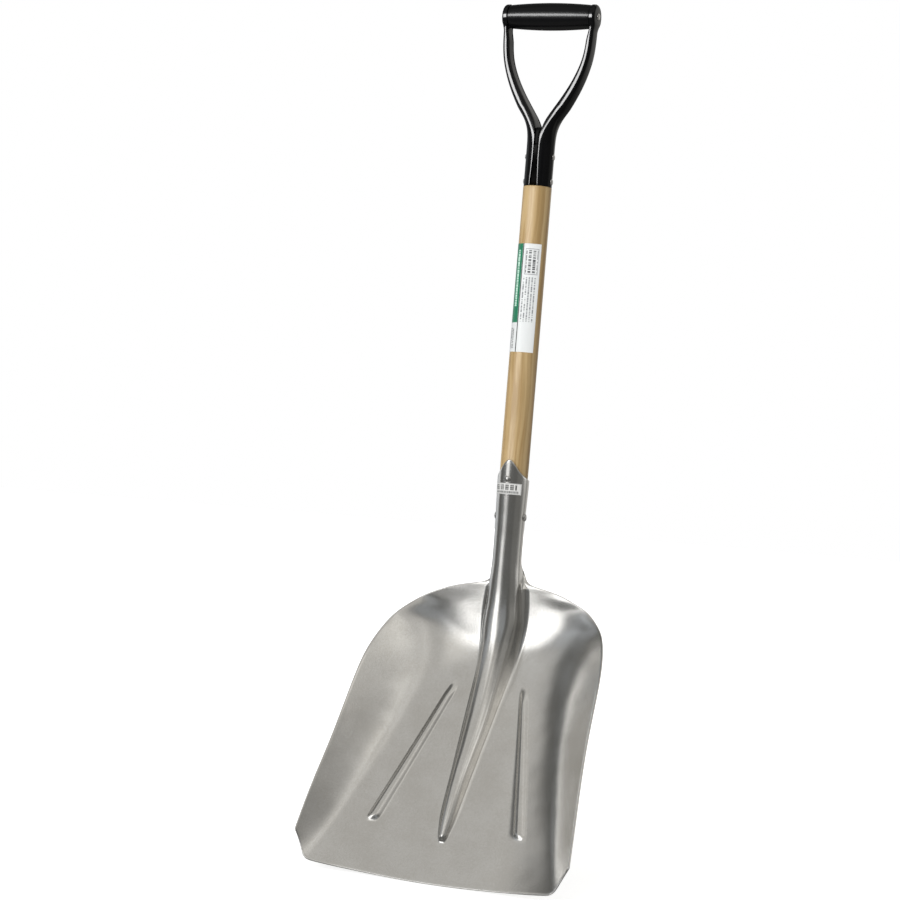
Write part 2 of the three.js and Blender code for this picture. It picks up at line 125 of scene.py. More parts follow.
FRONT_RIVET_Z = 509.5

bar_low, bar_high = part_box("grip_bar")
BASE = (bar_low.z + bar_high.z) / 2 - BAR_Z * MM


# ---- small maths on arrays ----
def mix(a, b, t):
    return a + (b - a) * t


def smooth(start, end, x):
    t = np.clip((x - start) / (end - start), 0, 1)
    return t * t * (3 - 2 * t)


def spline(*points):
    """natural cubic spline through (height, value) points, straight beyond both ends"""
    z, v = np.array(points, float).T
    gap = np.diff(z)
    slope = np.diff(v) / gap
    system = np.eye(len(z))
    target = np.zeros(len(z))
    for i in range(1, len(z) - 1):
        system[i, i - 1:i + 2] = gap[i - 1], 2 * (gap[i - 1] + gap[i]), gap[i]
        target[i] = 6 * (slope[i] - slope[i - 1])
    bend = np.linalg.solve(system, target)
    first = slope[0] - gap[0] * bend[1] / 6
    final = slope[-1] + gap[-1] * bend[-2] / 6

    def value(x):
        x = np.asarray(x, float)
        i = np.clip(np.searchsorted(z, x) - 1, 0, len(gap) - 1)
        b = (x - z[i]) / gap[i]
        a = 1 - b
        curve = (a**3 - a) * bend[i] + (b**3 - b) * bend[i + 1]
        inside = a * v[i] + b * v[i + 1] + curve * gap[i] ** 2 / 6
        below = v[0] + first * (x - z[0])
        above = v[-1] + final * (x - z[-1])
        return np.where(x < z[0], below, np.where(x > z[-1], above, inside))

    return value


# ---- meshes ----
def mesh_object(name, points, faces, material, uv=None):
    """object from points in millimetres; faces is a list of index tuples; uv is one pair per point"""
    data = bpy.data.meshes.new(name)
    placed = np.array(points, float) * MM
    placed[:, 2] += BASE
    data.from_pydata(placed.tolist(), [], faces)
    data.validate()
    if uv is not None:
        layer = data.uv_layers.new(name="sheet")
        corners = np.empty(len(data.loops), int)
        data.loops.foreach_get("vertex_index", corners)
        layer.data.foreach_set("uv", np.asarray(uv, float)[corners].ravel())
    data.polygons.foreach_set("use_smooth", [True] * len(data.polygons))
    data.materials.append(material)
    obj = bpy.data.objects.new(name, data)
    bpy.context.scene.collection.objects.link(obj)
    return obj


def grid_faces(rows, columns, start=0, flip=False, closed=False):
    """quads of a grid of points numbered row by row"""
    faces = []
    across = columns if closed else columns - 1
    for i in range(rows - 1):
        for j in range(across):
            k = (j + 1) % columns
            a, b = start + i * columns + j, start + i * columns + k
            c, d = start + (i + 1) * columns + k, start + (i + 1) * columns + j
            faces.append((d, c, b, a) if flip else (a, b, c, d))
    return faces


def grid_normals(grid):
    along = np.gradient(grid, axis=0)
    across = np.gradient(grid, axis=1)
    normal = np.cross(along, across)
    return normal / np.linalg.norm(normal, axis=2, keepdims=True)


def sheet_object(name, front, thickness, material, uv=None, edge_steps=4):
    """closed sheet behind a grid of points, with its free edges rounded off"""
    normal = grid_normals(front)
    back = front + normal * thickness
    rows, columns = front.shape[:2]
    ring = [(0, j) for j in range(columns)] + [(i, columns - 1) for i in range(1, rows)]
    ring += [(rows - 1, j) for j in range(columns - 2, -1, -1)] + [(i, 0) for i in range(rows - 2, 0, -1)]
    i, j = np.array(ring).T
    inner_i = np.clip(i, 1, rows - 2)
    inner_j = np.clip(j, 1, columns - 2)
    edge, inner = front[i, j], front[inner_i, inner_j]
    tangent = np.roll(edge, -1, axis=0) - np.roll(edge, 1, axis=0)
    outward = np.cross(tangent, normal[i, j])
    outward *= np.sign(np.sum(outward * (edge - inner), axis=1, keepdims=True))
    outward /= np.linalg.norm(outward, axis=1, keepdims=True)
    middle = edge + normal[i, j] * thickness / 2
    points = [front.reshape(-1, 3), back.reshape(-1, 3)]
    faces = grid_faces(rows, columns) + grid_faces(rows, columns, rows * columns, flip=True)
    strips = [i * columns + j]
    for step in range(1, edge_steps):
        angle = math.pi * step / edge_steps
        points.append(middle + (outward * math.sin(angle) - normal[i, j] * math.cos(angle)) * thickness / 2)
        strips.append(2 * rows * columns + (step - 1) * len(ring) + np.arange(len(ring)))
    strips.append(rows * columns + i * columns + j)
    for first, second in zip(strips, strips[1:]):
        for k in range(len(ring)):
            m = (k + 1) % len(ring)
            faces.append((int(first[m]), int(first[k]), int(second[k]), int(second[m])))
    if uv is not None:
        flat = uv.reshape(-1, 2)
        uv = np.concatenate([flat, flat] + [uv[i, j]] * (edge_steps - 1))
    return mesh_object(name, np.concatenate(points), faces, material, uv)


# ---- scoop: level sections driven by curves against height ----
socket_r = spline([330, 20.4], [380, 19.3], [425, 19.1], [461, 19.6], [500, 20.7], [534, 21.1])
crest_y = spline([45, -151], [70, -141], [95, -130], [120, -117.5], [145, -103], [174, -84.5],
                 [207, -65.5], [245, -47.5], [285, -32.5], [315, -24.5], [345, -20.4], [380, -19.3],
                 [430, -19.1])
foot_x = spline([0, 4.5], [45, 4.5], [70, 8.5], [122, 13], [177, 17.5], [232, 22], [287, 25.5], [320, 26],
                [350, 24], [374, 21.5], [400, 20.3], [430, 20])
crease_x = spline([11.3, 167.5], [51, 153.5], [79, 145.5], [127, 130], [182, 114.5], [236, 104],
                  [290, 104], [325, 99], [350, 66], [374, 25.5], [400, 21.5], [430, 21])
crease_y = spline([11.3, -189], [51, -158], [79, -139], [127, -104.5], [182, -62], [236, -24])
crease_softness = spline([10, 5], [60, 9], [120, 16], [180, 26], [236, 40], [290, 50], [325, 36],
                         [350, 26], [374, 20])
rim_x = spline([47.8, 184.1], [105.3, 178.2], [150.4, 172.7], [195.9, 168.5], [242, 165.3],
               [273, 161.5], [289, 157.6], [305.3, 151.8], [322.5, 142], [335, 129.5], [347.8, 111],
               [356.8, 91], [363.7, 71.5], [368, 52.5], [371.5, 37], [375.5, 28.6], [383, 24.4],
               [395, 21.8], [430, 21.2])
rim_y = spline([47.8, -184], [105.3, -156.3], [150.4, -132], [195.9, -107.5], [242, -81],
               [273, -60.5], [289, -47.5], [305.3, -33.5], [322, -18.5], [334, -8.5],
               [345, -0.5], [356.8, 4], [363.7, 6.5], [371.5, 9], [380, 12], [395, 14], [430, 14])
# grid of the sheet: columns of each stretch from the crest to the rim, then rows up to each height,
# and last the rows from there to the top of the socket
COLUMNS = {"crest": 14, "flank": 5, "toe": 7, "inner": 10, "rib": 14, "outer": 17, "wall": 21}
ROWS = ((100, 44), (330, 112), (400, 66), (455, 20))
TOP_ROWS = 28


def floor_y(z):
    length = FLOOR_BEND[1] - FLOOR_BEND[0]
    t = np.maximum(0, (z - FLOOR_BEND[0]) / length)
    turn = np.where(t < 1, t**3 - t**4 / 2, t - 0.5)
    neck = NECK_BACK * smooth(*NECK, z)
    return FRONT_Y + FLOOR_SLOPE * z - (FLOOR_SLOPE - REAR_SLOPE) * length * turn + neck


def rib_x(z):
    return mix(RIB_LOW[0], RIB_HIGH[0], (z - RIB_LOW[1]) / (RIB_HIGH[1] - RIB_LOW[1]))


def rib_half_width(z):
    return mix(*RIB_HALF, np.clip((z - RIB_LOW[1]) / (RIB_HIGH[1] - RIB_LOW[1]), 0, 1))


def pan_y(x, z):
    """floor, crease and wall of a level section"""
    foot, crease, edge = foot_x(z), crease_x(z), rim_x(z)
    softness = crease_softness(z)

    def ramp(at):
        return at - crease + np.hypot(at - crease, softness)

    def out(at):
        return np.maximum(0, (at - FLAT_HALF) / (crease - FLAT_HALF)) ** 2

    wall = (ramp(x) - ramp(foot)) / (ramp(edge) - ramp(foot))
    dish = (floor_y(z) - crease_y(z)) * smooth(300, 200, z)
    rim = floor_y(z) - rim_y(z) - dish * out(edge)
    return floor_y(z) - rim * wall - dish * out(x)


def toward(a, b):
    step = b - a
    return step / np.linalg.norm(step, axis=-1, keepdims=True)


def rounded_corner(before, corner, after, span_in, span_out, t):
    """points of a conic arc that rounds a corner, with the given tangent lengths"""
    arrive, leave = toward(before, corner), toward(corner, after)
    start = corner - arrive * span_in[..., None]
    end = corner + leave * span_out[..., None]
    weight = np.sqrt(np.maximum(0, (1 + np.sum(arrive * leave, axis=-1, keepdims=True)) / 2))
    t = t[:, None]
    a, b, c = (1 - t) ** 2, 2 * weight * t * (1 - t), t**2
    return (start * a + corner * b + end * c) / (a + b + c)


def pan_section(z):
    """right half of the pan for heights z of shape (rows, columns), from the crest to the rim"""
    floor = floor_y(z)
    height = (floor - crest_y(z)) * smooth(RIDGE_END_Z, RIDGE_END_Z + 9, z)
    lean = RIDGE_LEAN * smooth(360, 250, z)
    width = mix(foot_x(z) * (1 - lean), socket_r(z), smooth(310, 350, z))
    edge = rim_x(z)
    crest = np.stack([0 * z, floor - height], axis=-1)
    shoulder = np.stack([width, floor - height], axis=-1)
    foot = np.stack([foot_x(z), floor], axis=-1)
    flank = np.linalg.norm(shoulder - foot, axis=-1)
    toe_span = np.minimum(mix(4.5, 10, smooth(260, 360, z)), 0.36 * flank)
    toe_x = foot[..., 0] + np.minimum(toe_span, 0.3 * (edge - foot[..., 0]))
    toe_end = np.stack([toe_x, pan_y(toe_x, z)], axis=-1)
    toe_out = np.linalg.norm(toe_end - foot, axis=-1)
    crease = np.clip(crease_x(z), mix(toe_x, edge, 0.5), mix(toe_x, edge, 0.92))
    rib = np.clip(rib_x(z), mix(toe_x, crease, 0.3), mix(toe_x, crease, 0.8))
    rib_half = np.minimum(rib_half_width(z), 0.2 * (crease - toe_x))
    top_out = np.minimum(width, 0.6 * flank)
    start = 0
    points = np.empty(z.shape + (2,))

    def columns(count, closed=False):
        nonlocal start
        picked = slice(start, start + count + closed)
        start += count + closed
        return picked, np.linspace(0, 1, count + 1)[0 if closed else 1:]

    pick, t = columns(COLUMNS["crest"], closed=True)
    points[:, pick] = rounded_corner(crest[:, pick], shoulder[:, pick], foot[:, pick],
                                     width[:, pick], top_out[:, pick], t)
    down = toward(shoulder, foot)
    first = shoulder + down * top_out[..., None]
    final = foot - down * toe_span[..., None]
    pick, t = columns(COLUMNS["flank"])
    points[:, pick] = mix(first[:, pick], final[:, pick], t[:, None])
    pick, t = columns(COLUMNS["toe"])
    points[:, pick] = rounded_corner(shoulder[:, pick], foot[:, pick], toe_end[:, pick],
                                     toe_span[:, pick], toe_out[:, pick], t)
    stops = (("inner", toe_x, rib - rib_half), ("rib", rib - rib_half, rib + rib_half),
             ("outer", rib + rib_half, crease), ("wall", crease, edge))
    for name, low, high in stops:
        pick, t = columns(COLUMNS[name])
        x = mix(low[:, pick], high[:, pick], t)
        points[:, pick] = np.stack([x, pan_y(x, z[:, pick])], axis=-1)
    return points


def around_socket(z, pan):
    """angle of each column where the same section is wrapped round the shaft"""
    steps = np.linalg.norm(np.diff(pan, axis=1), axis=-1)
    walked = np.concatenate([np.zeros((len(z), 1)), np.cumsum(steps, axis=1)], axis=1)
    reach = np.radians(mix(*SOCKET_WRAP, smooth(NECK[0], NECK[1] + 30, z)))
    return reach * walked / walked[:, -1:]


def scoop_half():
    count = sum(COLUMNS.values()) + 1
    wall_from = count - 1 - COLUMNS["wall"]
    level = np.full((1, count), CORNER_RISE / 2)
    x = pan_section(level)[0, :, 0]
    crease = x[wall_from]
    low = CORNER_RISE * np.minimum(1, x / crease) ** 2
    past = np.append((x - crease) / (x[-1] - crease), 1.0)
    climb = ((past + np.hypot(past, CORNER_ROUNDING)) / 2) ** CORNER_POWER
    low = low + (WALL_END_Z - CORNER_RISE) * climb[:-1] / climb[-1]
    neck = np.full((1, count), float(NECK[1]))
    full = np.full((1, count), float(SOCKET_TOP))
    angle = np.degrees(around_socket(full, pan_section(neck)))[0]
    high = SOCKET_TOP + TONGUE_RISE / (1 + (angle / TONGUE_HALF_ANGLE) ** 2)
    rows = [low[None, :]]
    for target, steps in ROWS:
        t = np.linspace(0, 1, steps + 1)[1:, None]
        rows.append(mix(rows[-1][-1:], np.full(count, float(target)), t))
    rows.append(mix(rows[-1][-1:], high, np.linspace(0, 1, TOP_ROWS + 1)[1:, None]))
    z = np.concatenate(rows)
    pan = pan_section(np.minimum(z, NECK[1]))
    angle = around_socket(z, pan)
    radius = socket_r(z)
    tube = np.stack([radius * np.sin(angle), -radius * np.cos(angle)], axis=-1)
    flat = mix(pan, tube, smooth(*NECK, z)[..., None])
    along = (z - RIB_LOW[1]) / (RIB_HIGH[1] - RIB_LOW[1])
    across = np.minimum(1, np.abs(flat[..., 0] - rib_x(z)) / rib_half_width(z))
    ends = smooth(0, 0.05, along) * smooth(1, 0.88, along)
    lift = RIB_HEIGHT * ends * (1 - across**2) ** 1.15
    return np.stack([flat[..., 0], flat[..., 1] - lift, z], axis=-1)


def mirrored(points):
    return points * np.array([-1, 1, 1])


def scoop_blade(material):
    half = scoop_half()
    front = np.concatenate([mirrored(half)[:, :0:-1], half], axis=1)
    length = np.linalg.norm(np.diff(front, axis=1), axis=-1)
    run = np.concatenate([np.zeros((len(front), 1)), np.cumsum(length, axis=1)], axis=1)
    run -= run[:, front.shape[1] // 2, None]
    uv = np.stack([run, front[..., 2]], axis=-1) * MM
    return sheet_object("scoop_sheet", front, SHEET, material, uv)


# ---- D-grip: one arm's sections, on the +X side ----
arm_outer_x = spline([930, 18.6], [955, 18.9], [967, 20.6], [983, 25.6], [999, 34.2], [1015, 42.7],
                     [1031, 49.8], [1047, 55.4], [1063, 59.5], [1079, 61.6], [1095, 62.4], [1110, 62.5])
arm_thickness = spline([930, 15], [960, 15.8], [983, 16.2], [1015, 13.6], [1047, 9.8], [1079, 8],
                       [1110, 8])
arm_half_depth = spline([930, 18.4], [960, 17.6], [985, 15], [1015, 12.8], [1047, 11.9], [1110, 11.5])


def arm_inner_x(z):
    return np.maximum(SEAM_HALF, arm_outer_x(z) - arm_thickness(z))


SHELL_COLUMNS = {"skirt": 6, "round": 9, "face": 10}


def arm_rows(low, high, steps, cup_steps):
    """heights up one arm to the middle of the cup, then angles round the upper half of the cup"""
    z = np.concatenate([np.linspace(low, high, steps), np.linspace(high, BAR_Z, 30)[1:]])
    angle = np.linspace(0, math.pi / 2, cup_steps + 1)[1:]
    return np.concatenate([z, np.full(cup_steps, BAR_Z)]), np.concatenate([0 * z, angle])


def arm_half(z, angle, inset, lip):
    """front half of the shell's open section in every row: from the lip to the middle of its face"""
    cup = smooth(*CUP_FLARE, z)
    outer = mix(arm_outer_x(z), CUP_OUTER, cup) - inset
    inner = mix(arm_inner_x(z), CUP_INNER, smooth(*LIP_FLARE, z)) + lip
    circle = np.sqrt(np.maximum(0, CUP_R**2 - (z - BAR_Z) ** 2))
    strap = arm_half_depth(np.minimum(z, STRAP_END_Z))
    soft = 2.5 * smooth(BAR_Z, BAR_Z - 6, z)
    reach = (strap + circle + np.hypot(strap - circle, soft)) / 2
    reach = np.where(angle > 0, CUP_R, reach) - inset
    radius = mix(9, 3.4, smooth(960, 1050, z)) - inset * 0.6
    width = outer - inner
    a, b = [], []
    for t in np.linspace(0, 1, SHELL_COLUMNS["skirt"] + 1):
        a.append(t * (width - radius))
        b.append(reach)
    for t in np.linspace(0, math.pi / 2, SHELL_COLUMNS["round"] + 1)[1:]:
        a.append(width - radius + radius * math.sin(t))
        b.append(reach - radius + radius * math.cos(t))
    for t in np.linspace(1, 0, SHELL_COLUMNS["face"] + 1)[1:]:
        a.append(width + 0 * z)
        b.append((reach - radius) * t)
    a, b = np.array(a).T, np.array(b).T
    share = a / width[:, None]
    fall = np.where(share < 0.4, 1.7 * (1 - share / 0.4) ** 2, 1.3 * ((share - 0.4) / 0.6) ** 2)
    b = b * (1 - fall * (1 - cup)[:, None] / reach[:, None])
    x = inner[:, None] + a + 0.7 * (1 - (b / reach[:, None]) ** 2) * share ** 4
    round_r = FERRULE_R - inset
    turn = np.arccos(np.minimum(1, inner / round_r))[:, None] * np.linspace(1, 0, a.shape[1])
    free = smooth(945, 1000, z)[:, None]
    x = mix(round_r * np.cos(turn), x, free)
    b = mix(round_r * np.sin(turn), b, free)
    y = -b * np.cos(angle)[:, None]
    height = z[:, None] + b * np.sin(angle)[:, None]
    return np.stack([x, y, height], axis=-1)


def whole_arm(half):
    back = half[:, -2::-1] * np.array([1, -1, 1])
    return np.concatenate([half, back], axis=1)


def finished(obj, *modifiers):
    """object with the given modifiers applied to its mesh"""
    for kind, settings in modifiers:
        modifier = obj.modifiers.new(kind.lower(), kind)
        for key, value in settings.items():
            setattr(modifier, key, value)
    data = bpy.data.meshes.new_from_object(obj.evaluated_get(bpy.context.evaluated_depsgraph_get()))
    obj.modifiers.clear()
    obj.data = data
    data.polygons.foreach_set("use_smooth", [True] * len(data.polygons))
    return obj


def weld(obj, distance=0.00002):
    edit = bmesh.new()
    edit.from_mesh(obj.data)
    bmesh.ops.remove_doubles(edit, verts=edit.verts, dist=distance)
    bmesh.ops.dissolve_degenerate(edit, edges=edit.edges, dist=distance / 4)
    bmesh.ops.recalc_face_normals(edit, faces=edit.faces)
    edit.to_mesh(obj.data)
    edit.free()
    return obj


def arm_sheath(name, side, material):
    z, angle = arm_rows(FERRULE_Z, CUP_FLARE[0], 150, 22)
    outside = whole_arm(arm_half(z, angle, 0, 0))
    if side < 0:
        outside = mirrored(outside)[:, ::-1]
    rows, columns = outside.shape[:2]
    shell = mesh_object(name, outside.reshape(-1, 3), grid_faces(rows, columns, flip=True), material)
    weld(shell)
    return finished(
        shell,
        ("SOLIDIFY", {"thickness": STEEL * MM, "offset": -1, "use_even_offset": True}),
        ("BEVEL", {"width": 0.45 * MM, "segments": 3, "limit_method": "ANGLE", "angle_limit": 0.9}),
    )


def closed_loft(name, rings, material):
    """closed body through rings of shape (rings, points), capped with a fan at both ends"""
    count = rings.shape[1]
    middle = [rings[0].mean(axis=0), rings[-1].mean(axis=0)]
    points = np.concatenate([rings.reshape(-1, 3), middle])
    faces = grid_faces(len(rings), count, closed=True)
    low, high = len(points) - 2, len(points) - 1
    top = (len(rings) - 1) * count
    faces += [(low, (j + 1) % count, j) for j in range(count)]
    faces += [(high, top + j, top + (j + 1) % count) for j in range(count)]
    return weld(mesh_object(name, points, faces, material))


def arm_core(name, side, material):
    z = np.linspace(ARM_FOOT_Z, 1106, 120)
    rings = whole_arm(arm_half(z, 0 * z, STEEL + 0.1, 1.1))
    front, back = rings[:, :1], rings[:, -1:]
    t = np.linspace(0, 1, 12)[1:-1, None]
    across = mix(back, front, t)
    bulge = 1 - (2 * t - 1) ** 6
    across = across - np.array([0.9, 0, 0]) * bulge
    rings = np.concatenate([rings, across], axis=1)
    if side < 0:
        rings = mirrored(rings)
    return closed_loft(name, rings, material)


def turned(profile, segments):
    """rings of a profile of (radius, height) pairs turned about Z"""
    radius, height = np.array(profile, float).T
    angle = np.linspace(0, 2 * math.pi, segments, endpoint=False)
    x = radius[:, None] * np.cos(angle)
    y = radius[:, None] * np.sin(angle)
    return np.stack([x, y, np.broadcast_to(height[:, None], x.shape)], axis=-1)


def along_x(points, z):
    """turns points about Z into points about the X axis at a height"""
    return np.stack([points[..., 2], points[..., 1], z - points[..., 0]], axis=-1)


def along_y(points, z):
    return np.stack([points[..., 0], -points[..., 2], z + points[..., 1]], axis=-1)


def revolved(name, profile, place, segments, material):
    """closed body of a profile of (radius, position) pairs, laid along its axis by place"""
    return closed_loft(name, place(turned(profile, segments)), material)


def grip_bar(material):
    edge = 1.1
    half = [(9, BAR_HALF)]
    for t in np.linspace(0, math.pi / 2, 7):
        half.append((BAR_END_R - edge + edge * math.sin(t), BAR_HALF - edge + edge * math.cos(t)))
    for t in np.linspace(BAR_HALF - edge, 0, 36)[1:]:
        swell = max(0, math.cos(t / BAR_HALF * math.pi / 2)) ** 0.8
        half.append((mix(BAR_END_R, BAR_MIDDLE_R, swell), t))
    profile = [(r, -x) for r, x in half] + half[-2::-1]
    return revolved("grip_bar_turned", profile, lambda p: along_x(p, BAR_Z), 96, material)


def rivet_heads(name, radius, height, faces, place, material):
    """two domed heads with a small flat rim, one beyond each face, joined by their shank"""
    low, high = faces
    rim = 0.35
    profile = [(0.01, low - height)]
    for t in np.linspace(math.pi / 2, 0, 12)[1:]:
        profile.append((radius * math.cos(t), low - rim - (height - rim) * math.sin(t)))
    profile += [(radius, low), (RIVET_R, low), (RIVET_R, high), (radius, high), (radius, high + rim)]
    for t in np.linspace(0, math.pi / 2, 12)[1:-1]:
        profile.append((radius * math.cos(t), high + rim + (height - rim) * math.sin(t)))
    profile.append((0.01, high + height))
    return revolved(name, profile, place, 40, material)


def wrapped_label(name, low, high, start, end, radius_at, material, thickness=0.22, lift=0.05):
    """thin printed sheet between two heights and two angles in degrees; its UV runs 0 to 1 each way"""
    turn, up = np.linspace(0, 1, 97), np.linspace(0, 1, 61)
    angle = np.radians(mix(start, end, turn))[None, :]
    z = mix(low, high, up)[:, None] + 0 * angle
    radius = radius_at(z) + lift + thickness
    front = np.stack([radius * np.sin(angle), -radius * np.cos(angle), z], axis=-1)
    uv = np.stack(np.meshgrid(turn, up), axis=-1)
    return sheet_object(name, front, thickness, material, uv, edge_steps=3)


# ---- finishes ----
class Nodes:
    """short ways to add nodes to a tree"""

    def __init__(self, tree):
        self.tree = tree

    def add(self, kind, inputs=(), **properties):
        node = self.tree.nodes.new(kind)
        for key, value in properties.items():
            setattr(node, key, value)
        for key, value in dict(inputs).items():
            self.join(node.inputs[key], value)
        return node

    def join(self, socket, value):
        if isinstance(value, bpy.types.NodeSocket):
            self.tree.links.new(value, socket)
        else:
            socket.default_value = value

    def math(self, operation, *values):
        node = self.add("ShaderNodeMath", enumerate(values), operation=operation)
        return node.outputs[0]

    def stretch(self, vector, x, y, z):
        node = self.add("ShaderNodeVectorMath", {0: vector, 1: (x, y, z)}, operation="MULTIPLY")
        return node.outputs[0]

    def noise(self, vector, scale=1.0, detail=3.0, roughness=0.5, distortion=0.0):
        node = self.add("ShaderNodeTexNoise", {"Vector": vector, "Scale": scale, "Detail": detail,
                                               "Roughness": roughness, "Distortion": distortion})
        return node.outputs[0]

    def range(self, value, low, high, new_low=0.0, new_high=1.0):
        node = self.add("ShaderNodeMapRange", {0: value, 1: low, 2: high, 3: new_low, 4: new_high},
                        interpolation_type="SMOOTHSTEP")
        return node.outputs[0]

    def blend(self, factor, first, second):
        node = self.add("ShaderNodeMix", {0: factor, 6: first, 7: second}, data_type="RGBA")
        return node.outputs[2]

    def within(self, value, low, high, soft=0.004):
        rise = self.range(value, low - soft, low + soft)
        fall = self.range(value, high - soft, high + soft)
        return self.math("SUBTRACT", rise, fall)


class Finish(Nodes):
    """a Principled material; constants go straight to its sockets"""

    def __init__(self, name, **constants):
        self.material = bpy.data.materials.new(name)
        self.material.use_nodes = True
        super().__init__(self.material.node_tree)
        self.shader = self.tree.nodes["Principled BSDF"]
        coordinates = self.add("ShaderNodeTexCoord")
        self.place = coordinates.outputs["Object"]
        self.uv = coordinates.outputs["UV"]
        for socket, value in constants.items():
            self.set(socket.replace("_", " "), value)

    def set(self, socket, value):
        self.join(self.shader.inputs[socket], value)

    def bump(self, *layers):
        """bump from (height, distance in metres) layers, one over the other"""
        normal = None
        for height, distance in layers:
            inputs = {"Height": height, "Distance": distance, "Strength": 1.0}
            if normal is not None:
                inputs["Normal"] = normal
            normal = self.add("ShaderNodeBump", inputs).outputs[0]
        self.set("Normal", normal)


def aluminium():
    f = Finish("aluminium_sheet", Metallic=1.0)
    dents = f.noise(f.place, 14.0, 2.0)
    mottle = f.noise(f.place, 420.0, 4.0, 0.6)
    cloud = f.noise(f.place, 26.0, 3.0)
    grain = f.noise(f.stretch(f.uv, 1400, 60, 1), 1.0, 3.0, 0.65)
    scratch = f.noise(f.stretch(f.uv, 380, 14, 1), 1.0, 2.0, 0.5, 0.6)
    tone = f.math("MULTIPLY_ADD", mottle, 0.5, f.math("MULTIPLY", cloud, 0.5))
    f.set("Base Color", f.blend(f.range(tone, 0.3, 0.7), (0.64, 0.625, 0.595, 1), (0.72, 0.71, 0.69, 1)))
    rough = f.math("MULTIPLY_ADD", grain, 0.06, 0.16)
    rough = f.math("MULTIPLY_ADD", cloud, 0.04, rough)
    f.set("Roughness", f.math("MULTIPLY_ADD", f.range(scratch, 0.62, 0.75), -0.06, rough))
    f.bump((dents, 0.0007), (mottle, 0.00003), (grain, 0.000012))
    return f.material


def ash():
    f = Finish("ash_wood", Coat_Weight=0.22, Coat_Roughness=0.16, Specular_IOR_Level=0.25)
    bent = f.noise(f.place, 5.0, 2.0)
    sway = f.stretch(bent, 0.012, 0.012, 0)
    along = f.add("ShaderNodeVectorMath", {0: f.place, 1: sway}, operation="ADD").outputs[0]
    figure = f.noise(f.stretch(along, 130, 130, 3.2), 1.0, 3.0, 0.55)
    lines = f.noise(f.stretch(along, 520, 520, 9), 1.0, 3.0, 0.6)
    pores = f.noise(f.stretch(f.place, 1900, 1900, 42), 1.0, 2.0, 0.5)
    pale, tan = (0.285, 0.205, 0.102, 1), (0.2, 0.132, 0.054, 1)
    colour = f.blend(f.range(figure, 0.36, 0.66), pale, tan)
    colour = f.blend(f.range(lines, 0.5, 0.72, 0, 0.45), colour, (0.2, 0.115, 0.04, 1))
    colour = f.blend(f.range(pores, 0.6, 0.72, 0, 0.35), colour, (0.16, 0.08, 0.028, 1))
    f.set("Base Color", colour)
    f.set("Roughness", f.range(figure, 0.3, 0.7, 0.36, 0.46))
    f.bump((figure, 0.00012), (pores, 0.00002))
    return f.material


def black_paint(name, roughness, coat, wave):
    f = Finish(name, Coat_Weight=coat, Coat_Roughness=0.06, Coat_IOR=1.42, Specular_IOR_Level=0.1)
    peel = f.noise(f.place, 240.0, 2.0)
    slow = f.noise(f.place, 30.0, 2.0)
    dust = f.noise(f.place, 1500.0, 2.0)
    black, dusty = (0.0008, 0.0008, 0.0009, 1), (0.004, 0.004, 0.004, 1)
    f.set("Base Color", f.blend(f.range(dust, 0.6, 0.8), black, dusty))
    f.set("Roughness", f.math("MULTIPLY_ADD", slow, 0.06, roughness))
    f.bump((slow, wave), (peel, 0.000015))
    return f.material


def rivet_steel():
    f = Finish("rivet_steel", Metallic=1.0)
    marks = f.noise(f.place, 700.0, 3.0)
    f.set("Base Color", f.blend(f.range(marks, 0.35, 0.7), (0.7, 0.69, 0.67, 1), (0.5, 0.49, 0.48, 1)))
    f.set("Roughness", f.range(marks, 0.3, 0.7, 0.18, 0.32))
    f.bump((marks, 0.00004))
    return f.material


def print_lines(f, across, along, count, density, low, high):
    """broken bars that stand for lines of small print: across counts the lines, along runs with them"""
    line = f.math("MULTIPLY", across, count)
    row = f.math("FLOOR", line)
    seat = f.within(f.math("FRACT", line), low, high, 0.06)
    shift, run = f.math("MULTIPLY", row, 7.3), f.math("MULTIPLY", along, density)
    vector = f.add("ShaderNodeCombineXYZ", {0: shift, 1: run}).outputs[0]
    ink = f.range(f.noise(vector, 1.0, 1.0), 0.44, 0.5)
    return f.math("MULTIPLY", seat, ink)


def both(f, *masks):
    product = masks[0]
    for mask in masks[1:]:
        product = f.math("MULTIPLY", product, mask)
    return product


